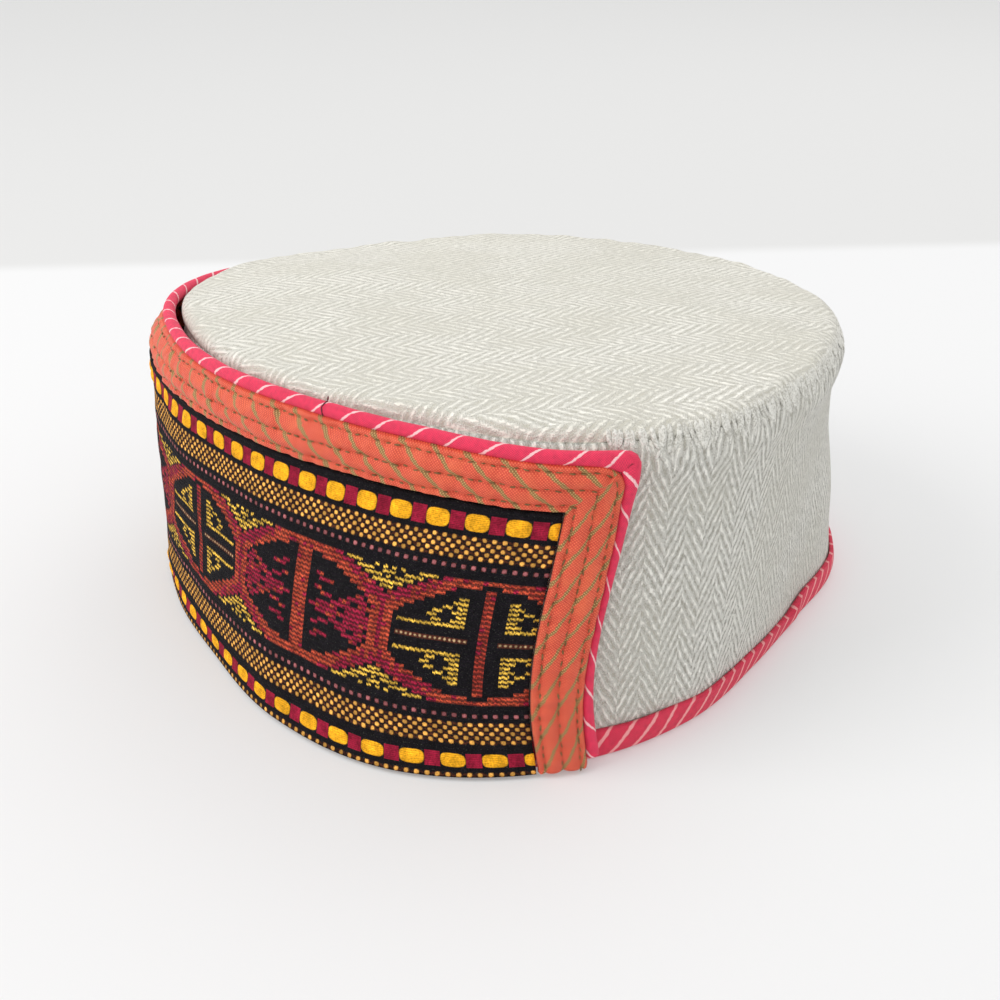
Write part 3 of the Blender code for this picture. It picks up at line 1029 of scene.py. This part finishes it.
def spread(share, line_at, line_share, end):
    """Runs from -end to end, at its own pace beyond the lines at -line_at and line_at."""
    if share < line_share:
        return -end + (end - line_at) * share / line_share
    if share > 1 - line_share:
        return line_at + (end - line_at) * (share - 1 + line_share) / line_share
    return -line_at + 2 * line_at * (share - line_share) / (1 - 2 * line_share)


border_columns = LONG_STEPS + 2 * END_STEPS
border_rows = TALL_STEPS + TOP_STEPS


def border_spot(across, up):
    """The spot on the flap of a corner of the border's grid."""
    along = spread(across, border_side, END_STEPS / border_columns, border_end(1.0))
    share = TALL_STEPS / border_rows
    if up <= share:
        return along, border_head * up / share
    return along, border_head + (border_top - border_head) * (up - share) / (1 - share)


def round_corner(along, up):
    """Moves a spot near the border's upper corners onto a rounded corner."""
    to_end = (border_end(up) - abs(along)) / share_along(1.0)
    to_top = (border_top - up) / share_up(1.0)
    if to_end >= BORDER_CORNER or to_top >= BORDER_CORNER:
        return along, up
    aside, above = BORDER_CORNER - to_end, BORDER_CORNER - to_top
    shrink = 1 - max(aside, above) / math.hypot(aside, above)
    return along - math.copysign(share_along(aside * shrink), along), up - share_up(above * shrink)


def border_place(across, up):
    """The grid before it is shaped, so that the band's field can be cut out of it."""
    return *border_spot(across, up), 0.0


def border_weave(across, up):
    """The spot on the flat cloth, in metres. The ends are cut the other way of the stuff."""
    along, rise = border_spot(across, up)
    length = along * FLAP_HALF
    height = rise * FLAP_TALL
    to_end = (border_end(1.0) - abs(along)) / share_along(1.0)
    to_top = (border_top - rise) / share_up(1.0)
    if to_end < to_top:
        return END_CUT[0] * length, END_CUT[1] * height
    return length, height


sheet = cloth(border_columns, border_rows, border_place, border_weave)
threads = sheet.loops.layers.uv.new("threads")
field = []
for face in sheet.faces:
    for loop in face.loops:
        loop[threads].uv = (loop.vert.co.x * FLAP_HALF, loop.vert.co.y * FLAP_TALL)
    middle = face.calc_center_median()
    if abs(middle.x) < border_side and middle.y < border_head:
        field.append(face)
bmesh.ops.delete(sheet, geom=field, context="FACES")
for corner in sheet.verts:
    along, rise = corner.co.x, corner.co.y
    if abs(along) > border_side:
        part = (abs(along) - border_side) / (border_end(1.0) - border_side)
        along = math.copysign(border_side + (border_end(rise) - border_side) * part, along)
    corner.co = flap_point(*round_corner(along, rise), -border_swell(along, rise))
    corner.co.z += FOOT_LIFT * max(0.0, 1 - corner.co.z / FOOT_FADE)
border = make_piece("taffeta_border", sheet, taffeta, FLAP_LAYER)
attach(border, "root")
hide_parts("flap_border")

# The border's stitches
# Short slips of dark olive thread, a little over two millimetres apart, in three rows that follow the border.
STITCH_PITCH = 0.0025
STITCH_LENGTH = 0.0017
STITCH_THICK = 0.00027
PATH_UP = 400
PATH_ALONG = 1600


def thread_cloth(name, roughness, scale, dark, pale):
    """A material of plain thread, mottled between two tones."""
    material, tree, shader = new_material(name, roughness)
    grain = noise_at(tree, object_spot(tree), scale, 2.0)
    dress(tree, shader, blend(tree, grain, dark, pale), grain, 0.0001)
    return material


olive_thread = thread_cloth("olive_thread", 0.6, 1200.0, (0.10, 0.045, 0.014, 1.0), (0.30, 0.19, 0.06, 1.0))
chance = random.Random(7)
rows_of_stitches = bmesh.new()


def add_stitch(bunch, spot, ahead, outward, length, thick):
    """One slip of thread lying on the cloth."""
    side = outward.cross(ahead).normalized()
    frame_of = Matrix((ahead * length / 2, side * thick, outward * thick * 0.8)).transposed().to_4x4()
    frame_of.translation = spot
    bmesh.ops.create_icosphere(bunch, subdivisions=1, radius=1.0, matrix=frame_of)


def flap_out(along, up):
    """The way that the flap's face looks at a spot."""
    up = min(0.995, max(0.005, up))
    step = 0.004
    one = flap_point(along + step, up, 0.0) - flap_point(along - step, up, 0.0)
    two = flap_point(along, min(1.0, up + step), 0.0) - flap_point(along, max(0.0, up - step), 0.0)
    return one.cross(two).normalized()


for row in STITCH_ROWS:
    head = border_top - row * (border_top - border_head)
    wander = random.Random(round(100 * row))
    path = []
    for k in range(PATH_UP + 1):
        up = head * k / PATH_UP
        path.append((-border_end(up) + row * (border_end(up) - border_side), up))
    side = -path[-1][0]
    for k in range(1, PATH_ALONG + 1):
        path.append((-side + 2 * side * k / PATH_ALONG, head))
    path += [(-along, up) for along, up in path[PATH_UP - 1::-1]]
    walked = 0.0
    due = STITCH_PITCH / 2
    last = flap_point(*path[0], 0.0)
    for along, up in path[1:]:
        spot = flap_point(*round_corner(along, up), 0.0)
        walked += (spot - last).length
        if walked > due:
            due += STITCH_PITCH * chance.uniform(0.9, 1.1)
            outward = flap_out(along, up)
            ahead = (spot - last).normalized()
            ahead = (ahead + outward.cross(ahead) * chance.uniform(-0.25, 0.25)).normalized()
            lift = border_swell(along, up) + STITCH_THICK * 0.6
            aside = outward.cross(ahead) * wander.uniform(-0.0003, 0.0003)
            add_stitch(rows_of_stitches, spot + aside + outward * lift, ahead, outward,
                       STITCH_LENGTH * chance.uniform(0.8, 1.2), STITCH_THICK)
        last = spot
stitches_piece = make_piece("border_stitches", rows_of_stitches, olive_thread)
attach(stitches_piece, "root")

# The piping
# A cord in a bias strip of the pink-crimson striped cotton, sewn round the flap's outer edge. It is fuller
# at the corners and feet, and turns partly under the border along the ends.
PIPING_STEPS = 560
PIPING_SIDES = 16
END_POINTS = 120
CORNER_POINTS = 30
TOP_POINTS = 600
CORNER_ROUND = 0.0016
CORNER_FULL = 0.0046
CORNER_REACH = 1.2
FOOT_ROUND = 0.0012
END_LENGTH = 0.074
PIPING_SWELL = (0.009, 0.06)

piping_cloth = woven_cloth("crimson_piping", 0.75, 0.05, striped_cotton, 0.00018, {
    "Spacing": 0.0086,
    "Lean": -1.0,
    "Width": 0.0008,
    "Ground": (0.98, 0.036, 0.118, 1.0),
    "Stripe": (0.99, 0.64, 0.65, 1.0),
})

piping_head = 1 - share_up(PIPING / 2)
piping_foot = share_up(GAP + FOOT_ROUND)
corner_along = share_along(CORNER_ROUND)
corner_up = share_up(CORNER_ROUND)
route = []
for k in range(END_POINTS):
    up = piping_foot + (piping_head - corner_up - piping_foot) * k / END_POINTS
    route.append((share_along(piping_width(up) / 2) - 1, up))
piping_side = -route[-1][0]
for k in range(CORNER_POINTS):
    turn = k / CORNER_POINTS * math.pi / 2
    along = -piping_side + corner_along * (1 - math.cos(turn))
    route.append((along, piping_head - corner_up * (1 - math.sin(turn))))
first_top = len(route)
for k in range(TOP_POINTS + 1):
    route.append(((-piping_side + corner_along) * (1 - 2 * k / TOP_POINTS), piping_head))
route += [(-along, up) for along, up in reversed(route[:first_top])]
route_points = [flap_point(along, up, FLAP_CLOTH / 2 - GAP) for along, up in route]
route_lengths = [0.0]
for one, two in zip(route_points, route_points[1:]):
    route_lengths.append(route_lengths[-1] + (two - one).length)
piping_length = route_lengths[-1]
corner_middle = END_POINTS + CORNER_POINTS // 2
corner_lengths = (route_lengths[corner_middle], route_lengths[-1 - corner_middle])


def on_route(length):
    """The point, the way ahead and the way outward at a length along the piping's route."""
    length = max(0.0, min(piping_length, length))
    high = min(bisect_right(route_lengths, length), len(route_lengths) - 1)
    low = high - 1
    part = (length - route_lengths[low]) / (route_lengths[high] - route_lengths[low])
    spot = route_points[low].lerp(route_points[high], part)
    along, up = (one + (two - one) * part for one, two in zip(route[low], route[high]))
    before = max(0, low - 3)
    after = min(len(route_points) - 1, high + 3)
    ahead = (route_points[after] - route_points[before]).normalized()
    return spot, ahead, flap_out(along, up)


def piping_radius(length):
    """Half the piping's width: thinner down the ends, fuller at corners and feet."""
    from_foot = min(length, piping_length - length)
    full = piping_width(from_foot / END_LENGTH) / 2
    full *= 1 + ripple((length, 0, 0), *PIPING_SWELL)
    cap = min(1.0, from_foot / FOOT_ROUND)
    return full * math.sqrt(max(0.0, 1 - (1 - cap) ** 2))


def piping_point(share, turn):
    """A point of the piping's face. Its inner side reaches out to the border's rounded corners."""
    length = share * piping_length
    spot, ahead, outward = on_route(length)
    side = outward.cross(ahead).normalized()
    angle = 2 * math.pi * turn + math.pi
    radius = piping_radius(length)
    from_corner = min(abs(length - corner) for corner in corner_lengths)
    reach = 1.0 if math.sin(angle) > 0 else 1 + CORNER_REACH * math.exp(-(from_corner / CORNER_FULL) ** 2)
    return spot + (outward * math.cos(angle) + side * math.sin(angle) * reach) * radius


def piping_weave(share, turn):
    """The spot on the flat strip."""
    return share * piping_length, turn * math.pi * PIPING


sheet = cloth(PIPING_STEPS, PIPING_SIDES, piping_point, piping_weave)
close_round(sheet)
bmesh.ops.recalc_face_normals(sheet, faces=sheet.faces)
piping = make_piece("piping_cord", sheet, piping_cloth)
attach(piping, "root")
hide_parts("flap_piping")

# The loose stitch
# One dark red thread is sewn over the piping on its top run, and its end stands up a little behind it.
LOOSE_PLACE = 0.0898
LOOSE_THICK = 0.00022
LOOSE_TURNS = (0.30, 0.42, 0.54, 0.66, 0.76)

dark_thread = thread_cloth("dark_red_thread", 0.7, 1500.0, (0.05, 0.004, 0.008, 1.0), (0.2, 0.012, 0.03, 1.0))
top_run = range(first_top, first_top + TOP_POINTS)
thread_place = min(top_run, key=lambda k: abs(route[k][0] - LOOSE_PLACE / FLAP_HALF))
thread_share = route_lengths[thread_place] / piping_length
loose = bmesh.new()
spots = [piping_point(thread_share + 0.0006 * (k % 2), turn) for k, turn in enumerate(LOOSE_TURNS)]
spots.append(spots[-1] + Vector((0.0, 0.0002, 0.0011)))
for one, two in zip(spots, spots[1:]):
    outward = (one + two - 2 * route_points[thread_place]).normalized()
    middle = (one + two) / 2 + outward * LOOSE_THICK * 0.6
    add_stitch(loose, middle, (two - one).normalized(), outward, (two - one).length * 1.25, LOOSE_THICK)
loose_piece = make_piece("loose_stitch", loose, dark_thread)
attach(loose_piece, "root")
